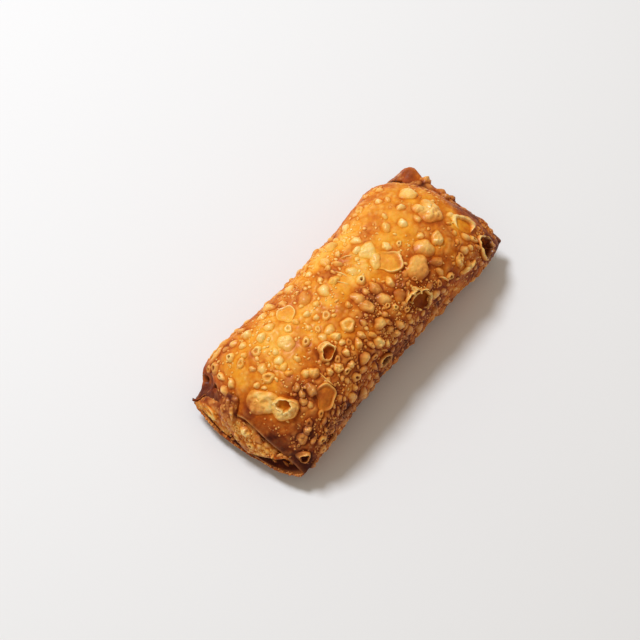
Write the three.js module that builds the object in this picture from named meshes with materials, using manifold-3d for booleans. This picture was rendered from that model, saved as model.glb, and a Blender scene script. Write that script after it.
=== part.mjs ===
// A fried spring roll of the thick-skinned, blistered egg roll kind, lying on its flattened underside.
// It is one solid: a rolled wrapper with a pocket at each end, the folds tucked into those pockets,
// and the blisters that frying raised on the skin.
// Millimetres, +Z up. +X runs along the roll, and the origin is the middle of the underside.

import * as THREE from "three";
import { mergeVertices } from "three/addons/utils/BufferGeometryUtils.js";
import Module from "manifold-3d";

const wasm = await Module();
wasm.setup();

// ---------------------------------------------------------------- driving dimensions

const HALF_LENGTH = 61; // of the stretch that is lofted, before the lips are drawn out
const WRAPPER_THICKNESS = 1.5;
const UNEVENNESS = 0.22; // how far the rolled skin wanders in and out
// The flat spot it lies on: how far the skin clears it, and how deep its pad reaches into the roll.
const FOOT = { length: 72, width: 26, rise: 0.25, sunk: 2, sides: 16 };

// How the section changes along the roll, each as [place along X, size] where the shape turns.
const LEFT_HALF_WIDTH = [
  [-61, 23.4], [-56, 24], [-50, 27.4], [-43, 26.6], [-28, 23.5], [-5, 21.6], [20, 21.7], [42, 23.6],
  [52, 22.8], [61, 22],
];
const RIGHT_HALF_WIDTH = [
  [-61, 26], [-43, 26.8], [-28, 25.4], [-5, 25.2], [20, 26.3], [42, 28], [54, 28.2], [61, 27.2],
];
const TOP_HEIGHT = [
  [-61, 21.5], [-50, 29], [-43, 33], [-28, 36.4], [-5, 36.9], [20, 36.4], [42, 34.4], [61, 25.5],
];
const WIDEST_HEIGHT = [[-61, 7.5], [-43, 15], [-5, 16], [42, 15], [61, 9]];
const UNDERSIDE_HEIGHT = [[-61, 4.5], [-50, 0.2], [-40, -0.4], [40, -0.4], [52, 0.2], [61, 4.5]];
// The superellipse power of the upper and lower half: 1 is a pointed tent, 2 an ellipse, 4 nearly a box.
const UPPER_POWER = [[-61, 1.15], [-50, 1.9], [-30, 2.4], [30, 2.4], [54, 1.8], [61, 1.35]];
const LOWER_POWER = [[-61, 1.6], [-50, 3.2], [50, 3.2], [61, 1.8]];

// The lips of the two open ends: how far out the lower and the upper sheet reach at mid-width, how much
// further the left corner, the right corner and the right part of the upper sheet are, and the length of
// roll over which the skin is drawn out.
const NEAR_LIPS = { lower: -63.4, upper: -59, left: 1.6, right: 2.6, upperRight: 0, drawn: 17 };
const FAR_LIPS = { lower: 61.2, upper: 56.5, left: -1.5, right: 2.2, upperRight: 2.8, drawn: 17 };
const POCKET_DEPTH = 2;

// The near end's folds, as rims and heights at each y. The first is tucked in under the upper sheet on the
// right and lies on the skin on the left.
const TONGUE = {
  left: 10.4, right: -19, root: -57.5, skinRoot: -55, laidOn: -55.5, liesFrom: 2.5, liesTo: 6.5, back: -52,
};
const TONGUE_RIM = [
  [-19, -58.4], [-16, -60.6], [-12, -62.2], [-8, -63.2], [-4, -63.6], [0, -63.3], [8, -62.4], [10.4, -61.6],
];
const TONGUE_RIM_HEIGHT = [
  [-19, 13.2], [-16, 12.2], [-12, 9.6], [-8, 7.5], [-4, 5.9], [0, 7.8], [4, 10.8], [10.4, 14],
];
const NEAR_LIP_HEIGHT = [[-22, 8], [-7, 17.6], [4.5, 20.6], [14, 17.5], [23, 8]];
// The second is the flap of the left corner. It narrows to a tip on the left, has a groove along its upper
// part, and runs on under the first fold on the right.
const EAR = {
  left: 24, right: -6, root: -54.6, laidOn: -57, laidTo: 21.5, tip: -60.4, tipHeight: 8.2, narrowing: 5.5,
  underFrom: 10, underTo: 4, underHeight: 8, groove: 1.6, grooveAt: 0.3, grooveWidth: 0.13, back: -53,
};
const EAR_LIP = [[-6, -63.2], [7, -62.7], [15, -61.8], [21, -61], [24, -60.4]];
const EAR_LIP_HEIGHT = [[-6, 4.6], [7, 4.9], [15, 5.7], [21, 7.1], [24, 8]];

// The puffed fold that juts out below the far end's upper sheet.
const LEDGE = {
  left: 22.6, right: -26.6, root: 54.5, nose: 63.6, noseRight: 62, rounded: 0.14,
  top: 21, crownAt: 15, fall: 0.0017, cornerFrom: -19, cornerDrop: 5.5, shoulderFrom: 15, shoulderDrop: 8.5,
  foot: 6, squareness: 3.4, back: 50,
};

// The smooth hollow in the skin above the near end's left corner.
const HOLLOW = { x: -54.6, turn: 24, radius: 5.5, depth: 2.2 };

// ---------------------------------------------------------------- numbers and curves

const lerp = THREE.MathUtils.lerp;
const clamp = THREE.MathUtils.clamp;
const smoothstep = THREE.MathUtils.smoothstep;
const radians = THREE.MathUtils.degToRad;

// The value at x of the smooth curve through the points, which are [x, value] in order of x.
function along(points, x) {
  const last = points.length - 1;
  const slope = (i) => {
    const before = points[Math.max(i - 1, 0)];
    const after = points[Math.min(i + 1, last)];
    return (after[1] - before[1]) / (after[0] - before[0]);
  };
  let i = 0;
  while (i < last - 1 && x > points[i + 1][0]) i += 1;
  const [x0, v0] = points[i];
  const [x1, v1] = points[i + 1];
  const step = x1 - x0;
  const t = clamp((x - x0) / step, 0, 1);
  const rise = t * t * (3 - 2 * t);
  return v0 * (1 - rise) + v1 * rise + step * t * (1 - t) * (slope(i) * (1 - t) - slope(i + 1) * t);
}

// A seeded generator of numbers from 0 to 1, so that the roll is the same each time.
function seeded(seed) {
  let state = seed;
  return () => {
    state = (state + 0x6d2b79f5) | 0;
    let t = Math.imul(state ^ (state >>> 15), 1 | state);
    t = (t + Math.imul(t ^ (t >>> 7), 61 | t)) ^ t;
    return ((t ^ (t >>> 14)) >>> 0) / 4294967296;
  };
}

const signedPower = (value, power) => Math.sign(value) * Math.abs(value) ** power;

// ---------------------------------------------------------------- the rolled wrapper

// How far the end at x has been drawn out to its lips, from 0 to 1.
const drawnOut = (distance, lips) => clamp((distance - (HALF_LENGTH - lips.drawn)) / lips.drawn, 0, 1) ** 2;

// Where along X an end's lip lies at an angle round the roll, given by its cosine and sine.
function lipPlace(lips, cosine, sine) {
  const middle = lerp(lips.lower, lips.upper, (sine + 1) / 2);
  const corner = cosine >= 0 ? lips.left : lips.right;
  const upperRight = lips.upperRight * smoothstep(-cosine, 0.3, 0.62) * smoothstep(sine, -0.3, 0.2);
  return middle + corner * Math.abs(cosine) ** 4 + upperRight;
}

// The point of the skin at x and at an angle round the roll: 0 is the left (+Y), a quarter turn is the top.
function skin(x, angle) {
  const cosine = Math.cos(angle);
  const sine = Math.sin(angle);
  const upper = sine >= 0;
  const power = 2 / along(upper ? UPPER_POWER : LOWER_POWER, x);
  const halfWidth = along(cosine >= 0 ? LEFT_HALF_WIDTH : RIGHT_HALF_WIDTH, x);
  const widest = along(WIDEST_HEIGHT, x);
  const halfHeight = upper ? along(TOP_HEIGHT, x) - widest : widest - along(UNDERSIDE_HEIGHT, x);
  const waves = Math.sin(0.19 * x + 2 * angle) + Math.sin(0.31 * x - 3 * angle + 1.7);
  const wander = UNEVENNESS * waves * clamp(sine + 0.4, 0, 1);
  const near = drawnOut(-x, NEAR_LIPS) * (lipPlace(NEAR_LIPS, cosine, sine) + HALF_LENGTH);
  const far = drawnOut(x, FAR_LIPS) * (lipPlace(FAR_LIPS, cosine, sine) - HALF_LENGTH);
  return new THREE.Vector3(
    x + near + far,
    (halfWidth + wander) * signedPower(cosine, power),
    Math.max(FOOT.rise, widest + (halfHeight + wander) * signedPower(sine, power)),
  );
}

// The skin's outward direction, from two small steps across the surface.
function outward(x, angle) {
  const step = 0.02;
  const lengthwise = skin(x + 10 * step, angle).sub(skin(x - 10 * step, angle));
  const round = skin(x, angle + step).sub(skin(x, angle - step));
  return round.cross(lengthwise).normalize();
}

// ---------------------------------------------------------------- closed solids

// The solid closed through rings of points, each ring running round the same way, and two end points.
function ringSolid(firstTip, rings, lastTip) {
  const count = rings[0].length;
  const points = [firstTip, ...rings.flat(), lastTip];
  const faces = [];
  const at = (ring, column) => 1 + ring * count + (column % count);
  for (let column = 0; column < count; column += 1) {
    faces.push(0, at(0, column + 1), at(0, column));
    faces.push(points.length - 1, at(rings.length - 1, column), at(rings.length - 1, column + 1));
    for (let ring = 0; ring < rings.length - 1; ring += 1) {
      faces.push(at(ring, column), at(ring, column + 1), at(ring + 1, column + 1));
      faces.push(at(ring, column), at(ring + 1, column + 1), at(ring + 1, column));
    }
  }
  const geometry = new THREE.BufferGeometry().setFromPoints(points);
  geometry.setIndex(faces);
  return geometry;
}

// The solid between a sheet, given as rows of points, and its shadow on the plane x = back.
function sheetSolid(rows, back) {
  const shadow = (point) => new THREE.Vector3(back, point.y, point.z);
  const outline = rows.map((row) => [...row, ...row.map(shadow).reverse()]);
  const total = (ring) => ring.reduce((sum, point) => sum.add(point), new THREE.Vector3());
  const middle = (ring) => total(ring).divideScalar(ring.length);
  return ringSolid(middle(outline[0]), outline, middle(outline[outline.length - 1]));
}

// A closed geometry as a manifold solid, turned right side out.
function solid(geometry) {
  const bare = geometry.clone();
  bare.deleteAttribute("normal");
  bare.deleteAttribute("uv");
  const merged = mergeVertices(bare, 1e-4);
  const faces = new Uint32Array(merged.index.array);
  const vertProperties = new Float32Array(merged.attributes.position.array);
  const made = new wasm.Manifold(new wasm.Mesh({ numProp: 3, vertProperties, triVerts: faces }));
  if (made.volume() > 0) return made;
  return new wasm.Manifold(new wasm.Mesh({ numProp: 3, vertProperties, triVerts: faces.reverse() }));
}

// ---------------------------------------------------------------- the wrapper's body and its folds

const STATIONS = 44;
const UPPER_COLUMNS = 32; // over the top, from a little below the left's widest line to the same on the right
const LOWER_COLUMNS = 8;
const UPPER_START = radians(-22);
const UPPER_END = radians(202);

// The angles of the columns, close together where the roll shows and wide apart on its underside.
function columnAngles() {
  const spread = (from, to, count) => Array.from({ length: count }, (_, i) => lerp(from, to, i / count));
  return [
    ...spread(UPPER_START, UPPER_END, UPPER_COLUMNS),
    ...spread(UPPER_END, UPPER_START + 2 * Math.PI, LOWER_COLUMNS),
  ];
}

// The rings of an open end, from its lip into the pocket: the wall's thickness, then the recess.
function pocketRings(lip, inwards) {
  const box = new THREE.Box3().setFromPoints(lip);
  const centre = box.getCenter(new THREE.Vector3());
  const size = box.getSize(new THREE.Vector3());
  const shrunk = (wall) => (point) =>
    new THREE.Vector3(
      point.x,
      centre.y + (point.y - centre.y) * (1 - (2 * wall) / size.y),
      centre.z + (point.z - centre.z) * (1 - (2 * wall) / size.z),
    );
  const mouth = lip.map(shrunk(WRAPPER_THICKNESS));
  const recess = new THREE.Vector3(inwards, 0, 0);
  const floor = lip.map(shrunk(2 * WRAPPER_THICKNESS)).map((point) => point.add(recess));
  const tip = new THREE.Vector3(0, centre.y, centre.z);
  tip.x = floor.reduce((sum, point) => sum + point.x, 0) / floor.length;
  return { mouth, floor, tip };
}

function rolledWrapper() {
  const angles = columnAngles();
  const rings = [];
  for (let i = 0; i <= STATIONS; i += 1) {
    const x = lerp(-HALF_LENGTH, HALF_LENGTH, i / STATIONS);
    rings.push(angles.map((angle) => skin(x, angle)));
  }
  const near = pocketRings(rings[0], POCKET_DEPTH);
  const far = pocketRings(rings[STATIONS], -POCKET_DEPTH);
  return solid(ringSolid(near.tip, [near.floor, near.mouth, ...rings, far.mouth, far.floor], far.tip));
}

// The flattened spot of the underside, a thin round-cornered pad sunk into the skin round it.
function foot() {
  const pad = new THREE.CylinderGeometry(0.5, 0.5, FOOT.sunk, FOOT.sides).rotateX(Math.PI / 2);
  return solid(pad.scale(FOOT.length, FOOT.width, 1).translate(0, 0, FOOT.sunk / 2));
}

// The height of the upper skin at x and y, before it is drawn out to its lips.
function topHeight(x, y) {
  const halfWidth = along(y > 0 ? LEFT_HALF_WIDTH : RIGHT_HALF_WIDTH, x);
  const power = along(UPPER_POWER, x);
  const widest = along(WIDEST_HEIGHT, x);
  const across = Math.min(Math.abs(y) / halfWidth, 0.995);
  return widest + (along(TOP_HEIGHT, x) - widest) * (1 - across ** power) ** (1 / power);
}

// A fold's sheet as rows from its left end to its right one, each of points from its root to its rim.
function sheetRows(fold, across, down, place) {
  const rows = [];
  for (let i = 0; i <= across; i += 1) {
    const y = lerp(fold.left, fold.right, i / across);
    rows.push(Array.from({ length: down + 1 }, (_, j) => place(y, j / down)));
  }
  return rows;
}

// The tucked fold's point at y, from 0, its root, to 1, its rim.
function tonguePoint(y, v) {
  const lies = smoothstep(y, TONGUE.liesFrom, TONGUE.liesTo);
  const rimHeight = along(TONGUE_RIM_HEIGHT, y);
  const tucked = Math.max(along(NEAR_LIP_HEIGHT, y) - 0.8, rimHeight + 0.6);
  const rootHeight = lerp(tucked, topHeight(TONGUE.laidOn, y) + 0.2, lies);
  const root = lerp(TONGUE.root, TONGUE.skinRoot, lies);
  const x = lerp(root, along(TONGUE_RIM, y), Math.sin((v * Math.PI) / 2) ** 0.8);
  return new THREE.Vector3(x, y, lerp(rootHeight, rimHeight, v ** lerp(1.3, 1.6, lies)));
}

// The left flap's point at y, from 0, on the skin, to 1, its lip.
function earPoint(y, v) {
  const turn = (v * Math.PI) / 2;
  const wide = smoothstep(EAR.left - y, 0, EAR.narrowing);
  const under = 1 - smoothstep(y, EAR.underTo, EAR.underFrom);
  const rootHeight = lerp(topHeight(EAR.laidOn, Math.min(y, EAR.laidTo)), EAR.underHeight, under);
  const groove = EAR.groove * Math.exp(-(((v - EAR.grooveAt) / EAR.grooveWidth) ** 2)) * wide;
  const x = lerp(lerp(EAR.tip, EAR.root, wide), along(EAR_LIP, y), Math.sin(turn) ** 0.9);
  const z = lerp(along(EAR_LIP_HEIGHT, y), lerp(EAR.tipHeight, rootHeight, wide), Math.cos(turn) ** 0.9);
  return new THREE.Vector3(x + 0.7 * groove, y, z - 0.7 * groove);
}

const tuckedTongue = () => solid(sheetSolid(sheetRows(TONGUE, 12, 6, tonguePoint), TONGUE.back));
const leftEar = () => solid(sheetSolid(sheetRows(EAR, 12, 7, earPoint), EAR.back));

// The height of the far fold's top at y: it falls gently from its crown, then faster towards each corner.
function ledgeTop(y) {
  const corner = clamp((LEDGE.cornerFrom - y) / (LEDGE.cornerFrom - LEDGE.right), 0, 1);
  const shoulder = clamp((y - LEDGE.shoulderFrom) / (LEDGE.left - LEDGE.shoulderFrom), 0, 1);
  const middle = LEDGE.top - LEDGE.fall * (y - LEDGE.crownAt) ** 2;
  return middle - LEDGE.cornerDrop * corner ** 1.5 - LEDGE.shoulderDrop * shoulder ** 2;
}

// The far fold's point at y, from 0, its top, over its nose to 1, its foot.
function ledgePoint(y, v) {
  const u = (LEDGE.left - y) / (LEDGE.left - LEDGE.right);
  const roundedOff = Math.sqrt(1 - (1 - clamp(u / LEDGE.rounded, 0, 1)) ** 2);
  const nose = lerp(LEDGE.root + 3, lerp(LEDGE.nose, LEDGE.noseRight, u), roundedOff);
  const top = ledgeTop(y);
  const middle = (top + LEDGE.foot) / 2;
  const power = 2 / LEDGE.squareness;
  const x = lerp(LEDGE.root, nose, Math.abs(Math.sin(v * Math.PI)) ** power);
  return new THREE.Vector3(x, y, middle + (top - middle) * signedPower(Math.cos(v * Math.PI), power));
}

const puffedLedge = () => solid(sheetSolid(sheetRows(LEDGE, 18, 9, ledgePoint), LEDGE.back));

// ---------------------------------------------------------------- blisters

// The large blisters: place along X, degrees round the roll, radius, height, and how they ended up:
// a full dome, a dome sunk in the middle, or one that burst and left a ring round a pit.
const LARGE_BLISTERS = [
  { x: -49.8, turn: 114.5, radius: 4.3, height: 2.3, kind: "burst" },
  { x: -53.2, turn: 95.5, radius: 4.8, height: 1.3, kind: "dome" },
  { x: -37.6, turn: 136, radius: 4.4, height: 1.2, kind: "sunk" },
  { x: -26.1, turn: 111, radius: 3.4, height: 1.9, kind: "sunk" },
  { x: -45.4, turn: 90, radius: 2.4, height: 1.4, kind: "sunk" },
  { x: -34.7, turn: 114, radius: 2.2, height: 1.6, kind: "dome" },
  { x: -22.9, turn: 69, radius: 3.6, height: 1.1, kind: "sunk" },
  { x: -32.1, turn: 86, radius: 3, height: 1.1, kind: "dome" },
  { x: -13.2, turn: 110, radius: 2.8, height: 1.7, kind: "sunk" },
  { x: -4.1, turn: 132, radius: 2.5, height: 1.3, kind: "dome" },
  { x: 3.6, turn: 118, radius: 2.8, height: 1.2, kind: "dome" },
  { x: 16.2, turn: 101, radius: 4.9, height: 1.2, kind: "sunk" },
  { x: 15, turn: 86.5, radius: 3.5, height: 1, kind: "dome" },
  { x: 29.9, turn: 114.5, radius: 3.6, height: 2, kind: "dome" },
  { x: 21.8, turn: 122, radius: 4.5, height: 1.3, kind: "dome" },
  { x: 44.6, turn: 99, radius: 5.5, height: 1.6, kind: "dome" },
  { x: 51.3, turn: 125, radius: 4.2, height: 1.4, kind: "burst" },
  { x: 46.3, turn: 74, radius: 3.7, height: 1.3, kind: "dome" },
  { x: 53, turn: 158, radius: 4.8, height: 1, kind: "burst" },
  { x: 38.6, turn: 145, radius: 1.8, height: 1.1, kind: "sunk" },
  { x: 14.6, turn: 146, radius: 5, height: 1.4, kind: "burst" },
  { x: -10.1, turn: 170, radius: 3.4, height: 1.5, kind: "burst" },
  { x: 1.8, turn: 151, radius: 2.1, height: 1.3, kind: "dome" },
  { x: -56.6, turn: 156, radius: 2.6, height: 1.4, kind: "burst" },
];
// What is taken out of a blister: the pit's width and depth as shares of the blister's own radius and height,
// and how high above the skin its middle is, as a share of that height.
const PITS = {
  burst: { width: 0.62, depth: 1.4, lift: 0.8 },
  sunk: { width: 0.5, depth: 0.6, lift: 1.05 },
};
const SMALL_BLISTERS = 42;
const SMALL_RADIUS = [1.3, 2.4];
// How many sides the balls have that stand for a large and a small blister, a pit and the hollow.
const LARGE_SIDES = 10;
const SMALL_SIDES = 6;
const PIT_SIDES = 7;
const HOLLOW_SIDES = 9;

// Maps the unit ball to a blister: flattened on the skin at its place, and sunk by part of its height.
function blisterFrame(blister, lift) {
  const angle = radians(blister.turn);
  const up = outward(blister.x, angle);
  const lengthwise = new THREE.Vector3(1, 0, 0).addScaledVector(up, -up.x).normalize();
  const round = new THREE.Vector3().crossVectors(up, lengthwise);
  const place = skin(blister.x, angle).addScaledVector(up, lift);
  return new THREE.Matrix4().makeBasis(lengthwise, round, up).setPosition(place);
}

// A flattened ball on the skin: width is its radius there, and it stands proud by rise.
function blisterBall(blister, width, rise, sides, lift = 0) {
  const ball = new THREE.SphereGeometry(1, sides, Math.round(sides * 0.6));
  ball.rotateX(Math.PI / 2);
  ball.scale(width, width * (blister.stretch ?? 1), rise);
  return solid(ball.applyMatrix4(blisterFrame(blister, lift)));
}

// Small blisters at seeded random places, closer together on the right side and never on a large one.
function smallBlisters() {
  const random = seeded(7);
  const placed = LARGE_BLISTERS.map(({ x, turn, radius }) => ({ at: skin(x, radians(turn)), radius }));
  const small = [];
  while (small.length < SMALL_BLISTERS) {
    const x = lerp(-56, 57, random());
    const turn = lerp(25, 172, random() ** 0.8);
    const radius = lerp(...SMALL_RADIUS, random() ** 2);
    const at = skin(x, radians(turn));
    if (placed.every((other) => other.at.distanceTo(at) > 1.15 * (other.radius + radius))) {
      placed.push({ at, radius });
      const height = radius * lerp(0.45, 0.65, random());
      small.push({ x, turn, radius, height, stretch: lerp(0.8, 1.25, random()) });
    }
  }
  return small;
}

function raiseBlisters(body) {
  let roll = body;
  for (const blister of LARGE_BLISTERS) {
    roll = roll.add(blisterBall(blister, blister.radius, blister.height, LARGE_SIDES));
  }
  for (const blister of smallBlisters()) {
    roll = roll.add(blisterBall(blister, blister.radius, blister.height, SMALL_SIDES));
  }
  for (const blister of LARGE_BLISTERS.filter(({ kind }) => kind in PITS)) {
    const { radius, height, kind } = blister;
    const { width, depth, lift } = PITS[kind];
    roll = roll.subtract(blisterBall(blister, radius * width, height * depth, PIT_SIDES, height * lift));
  }
  return roll.subtract(blisterBall(HOLLOW, HOLLOW.radius, 2 * HOLLOW.depth, HOLLOW_SIDES, HOLLOW.depth));
}

// ---------------------------------------------------------------- the spring roll

const FRIED_SKIN = new THREE.MeshStandardMaterial({ color: 0xd08a3c, roughness: 0.5, metalness: 0 });

// A three.js geometry of a solid, moved so that the origin is the middle of its underside.
function geometryOf(made) {
  const mesh = made.getMesh();
  const geometry = new THREE.BufferGeometry();
  geometry.setAttribute("position", new THREE.BufferAttribute(mesh.vertProperties, 3));
  geometry.setIndex(new THREE.BufferAttribute(mesh.triVerts, 1));
  geometry.computeBoundingBox();
  const { min, max } = geometry.boundingBox;
  geometry.translate(-(min.x + max.x) / 2, -(min.y + max.y) / 2, -min.z);
  geometry.computeVertexNormals();
  return geometry;
}

const folded = rolledWrapper().add(foot()).add(tuckedTongue()).add(leftEar()).add(puffedLedge());
const springRoll = new THREE.Mesh(geometryOf(raiseBlisters(folded)), FRIED_SKIN);
springRoll.name = "fried_roll";

const part = new THREE.Group();
part.add(springRoll);

export default part;
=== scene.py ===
"""A fried spring roll of the thick-skinned egg roll kind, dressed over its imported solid.

Shapes are worked out in millimetres round the roll's own middle line: +X runs along the roll, +Y is its
left side and +Z is up. They are moved into the solid's frame, in metres, as each piece is finished.
"""
import itertools
import math
from collections import namedtuple

import bmesh
import bpy
import numpy as np
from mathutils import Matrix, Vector


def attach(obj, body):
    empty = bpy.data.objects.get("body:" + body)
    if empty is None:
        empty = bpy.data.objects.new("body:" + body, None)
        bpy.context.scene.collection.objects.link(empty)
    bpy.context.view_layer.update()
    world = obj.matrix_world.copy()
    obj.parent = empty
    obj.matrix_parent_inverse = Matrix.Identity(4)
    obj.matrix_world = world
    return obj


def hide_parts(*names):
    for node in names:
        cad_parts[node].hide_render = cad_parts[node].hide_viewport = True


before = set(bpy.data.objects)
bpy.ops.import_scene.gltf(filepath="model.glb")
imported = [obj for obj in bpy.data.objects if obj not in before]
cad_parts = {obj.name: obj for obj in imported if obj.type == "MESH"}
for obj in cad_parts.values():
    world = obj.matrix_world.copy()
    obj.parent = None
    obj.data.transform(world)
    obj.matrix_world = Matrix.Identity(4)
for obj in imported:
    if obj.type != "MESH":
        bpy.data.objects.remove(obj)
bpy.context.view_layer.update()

# ------------------------------------------------------------------ driving dimensions, in millimetres

NODE = "fried_roll"
MM = 0.001
BOX_MIDDLE = np.array([-0.15, -0.90, 0.0])  # the middle of the solid's box, in the roll's own frame

HALF_LENGTH = 61.0
WALL = 0.7  # the wrapper's thickness at its lips
FOOT_RISE = 0.05  # how far above the floor the lowest points stay
# The roll's slow waves: how tall they are, then each one's radians for a millimetre along the roll, how
# many go round it and where it starts.
UNEVENNESS = 0.22
WAVES = [(0.19, 2, 0.0), (0.31, -3, 1.7)]

# The rolled body's sections: a measure at each place along X, and the powers of their rounded outlines.
LEFT_HALF_WIDTH = [
    (-61, 23.4), (-56, 24.0), (-50, 27.4), (-43, 26.6), (-28, 23.5), (-5, 21.6), (20, 21.7), (42, 23.6),
    (52, 22.8), (61, 22),
]
RIGHT_HALF_WIDTH = [
    (-61, 26), (-43, 26.8), (-28, 25.4), (-5, 25.2), (20, 26.3), (42, 28), (54, 28.2), (61, 27.2),
]
TOP_HEIGHT = [
    (-61, 21.5), (-50, 29), (-43, 33), (-28, 36.4), (-5, 36.9), (20, 36.4), (42, 34.4), (61, 25.5),
]
WIDEST_HEIGHT = [(-61, 7.5), (-43, 15), (-5, 16), (42, 15), (61, 9)]
UNDERSIDE_HEIGHT = [(-61, 4.5), (-50, 0.2), (-40, -0.4), (40, -0.4), (52, 0.2), (61, 4.5)]
UPPER_POWER = [(-61, 1.15), (-50, 1.9), (-30, 2.4), (30, 2.4), (54, 1.8), (61, 1.35)]
LOWER_POWER = [(-61, 1.6), (-50, 3.2), (50, 3.2), (61, 1.8)]

# How far each end's lower and upper sheet reach, how much further its corners and the right part of its
# upper sheet are, and over what length of roll they are drawn out.
NEAR_LIPS = dict(lower=-63.4, upper=-59.0, left=1.6, right=2.6, upper_right=0.0, drawn=17.0, inwards=1)
FAR_LIPS = dict(lower=61.2, upper=56.5, left=-1.5, right=2.2, upper_right=2.8, drawn=17.0, inwards=-1)

# The near end's folds. The first is tucked in under the upper sheet on the right and lies on the skin on
# the left: how far out its rim is, and how high, at each y.
TONGUE = dict(
    left=10.4, right=-19, root=-57.5, skin_root=-55.0, laid_on=-55.5, lies_from=2.5, lies_to=6.5,
)
TONGUE_RIM = [
    (-19, -58.4), (-16, -60.6), (-12, -62.2), (-8, -63.2), (-4, -63.6), (0, -63.3), (8, -62.4),
    (10.4, -61.6),
]
TONGUE_RIM_HEIGHT = [
    (-19, 13.2), (-16, 12.2), (-12, 9.6), (-8, 7.5), (-4, 5.9), (0, 7.8), (4, 10.8), (10.4, 14),
]
NEAR_LIP_HEIGHT = [(-22, 8), (-7, 17.6), (4.5, 20.6), (14, 17.5), (23, 8)]
# The flap of the left corner that the skin runs out into, with the groove that sets it off. It narrows to a
# tip on the left and runs on under the first fold on the right.
EAR = dict(
    left=24.0, right=-6, root=-54.6, tip=-60.4, tip_height=8.2, narrowing=5.5, laid_on=-57.0, laid_to=21.5,
    under_from=10, under_to=4, under_height=8, groove=1.6, groove_at=0.3, groove_width=0.13,
)
EAR_LIP = [(-6, -63.2), (7, -62.7), (15, -61.8), (21, -61.0), (24, -60.4)]
EAR_LIP_HEIGHT = [(-6, 4.6), (7, 4.9), (15, 5.7), (21, 7.1), (24, 8)]
# The rolled hem of the lower lip.
HEM = dict(start=math.radians(188), end=math.radians(352), radius=0.6)
# The puffed fold below the far end's upper sheet.
LEDGE = dict(
    left=22.6, right=-26.6, root=54.5, least=3, nose=63.6, nose_right=62.0, rounded=0.14, top=21.0,
    crown_at=15, fall=0.0017, corner_from=-19, corner_drop=5.5, shoulder_from=15, shoulder_drop=8.5,
    foot=6, squareness=3.4,
)


# ------------------------------------------------------------------ numbers and curves

def along(points, x):
    """The smooth curve through (place, size) points, at every x."""
    places, sizes = np.array(points, float).T
    slopes = np.empty_like(sizes)
    slopes[1:-1] = (sizes[2:] - sizes[:-2]) / (places[2:] - places[:-2])
    slopes[0] = (sizes[1] - sizes[0]) / (places[1] - places[0])
    slopes[-1] = (sizes[-1] - sizes[-2]) / (places[-1] - places[-2])
    i = np.clip(np.searchsorted(places, x, side="right") - 1, 0, len(places) - 2)
    step = places[i + 1] - places[i]
    t = np.clip((x - places[i]) / step, 0, 1)
    rise = t * t * (3 - 2 * t)
    bend = step * t * (1 - t) * (slopes[i] * (1 - t) - slopes[i + 1] * t)
    return sizes[i] * (1 - rise) + sizes[i + 1] * rise + bend


def signed_power(value, power):
    return np.sign(value) * np.abs(value) ** power


def blend(first, second, share):
    return first + (second - first) * share


def ease(low, high, value):
    """0 at low, 1 at high, and smooth between them."""
    t = np.clip((value - low) / (high - low), 0, 1)
    return t * t * (3 - 2 * t)


def hump(value, middle, width):
    """1 at the middle, falling smoothly to 0 a little more than the width away."""
    return np.exp(-((value - middle) / width) ** 2)


def lattice(cells, seed):
    """Repeatable random numbers from -1 to 1, one for each whole-numbered cell."""
    mixed = cells @ np.array([73856093, 19349663, 83492791]) + seed * 2654435761
    mixed = (mixed ^ (mixed >> 13)) * 1274126177 & 0x7FFFFFFF
    mixed = (mixed ^ (mixed >> 15)) * 1911520717 & 0x7FFFFFFF
    return ((mixed >> 8) & 0xFFFF) / 32767.5 - 1


def noise(points, size, seed):
    """Smooth random numbers from -1 to 1 that wander over the given size."""
    place = points / size
    cell = np.floor(place).astype(np.int64)
    t = place - cell
    t = t * t * (3 - 2 * t)
    total = np.zeros(points.shape[:-1])
    for corner in itertools.product((0, 1), repeat=3):
        weight = np.where(corner, t, 1 - t).prod(axis=-1)
        total += weight * lattice(cell + np.array(corner), seed)
    return total


def wandering(points, far, size, seed):
    """The points, each moved by up to about the given distance, together with their neighbours."""
    return points + far * np.stack([noise(points, size, seed + axis) for axis in range(3)], -1)


def pebbles(points, size, seed):
    """Small round bumps packed side by side: 1 on top of each and 0 between them."""
    place = points / size
    cell = np.floor(place).astype(np.int64)
    nearest = np.full(points.shape[:-1], 9.0)
    for step in itertools.product((-1, 0, 1), repeat=3):
        at = cell + np.array(step)
        jitter = np.stack([lattice(at, seed + axis) for axis in range(3)], -1)
        nearest = np.minimum(nearest, np.linalg.norm(at + 0.5 + 0.45 * jitter - place, axis=-1))
    return ease(0.75, 0.1, nearest)


# ------------------------------------------------------------------ surfaces

def lip_place(lips, cosine, sine):
    """How far along X an end's lip is, at each angle round the roll."""
    corner = np.where(cosine >= 0, lips["left"], lips["right"])
    further = lips["upper_right"] * ease(0.3, 0.62, -cosine) * ease(-0.3, 0.2, sine)
    return blend(lips["lower"], lips["upper"], (sine + 1) / 2) + corner * np.abs(cosine) ** 4 + further


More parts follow.
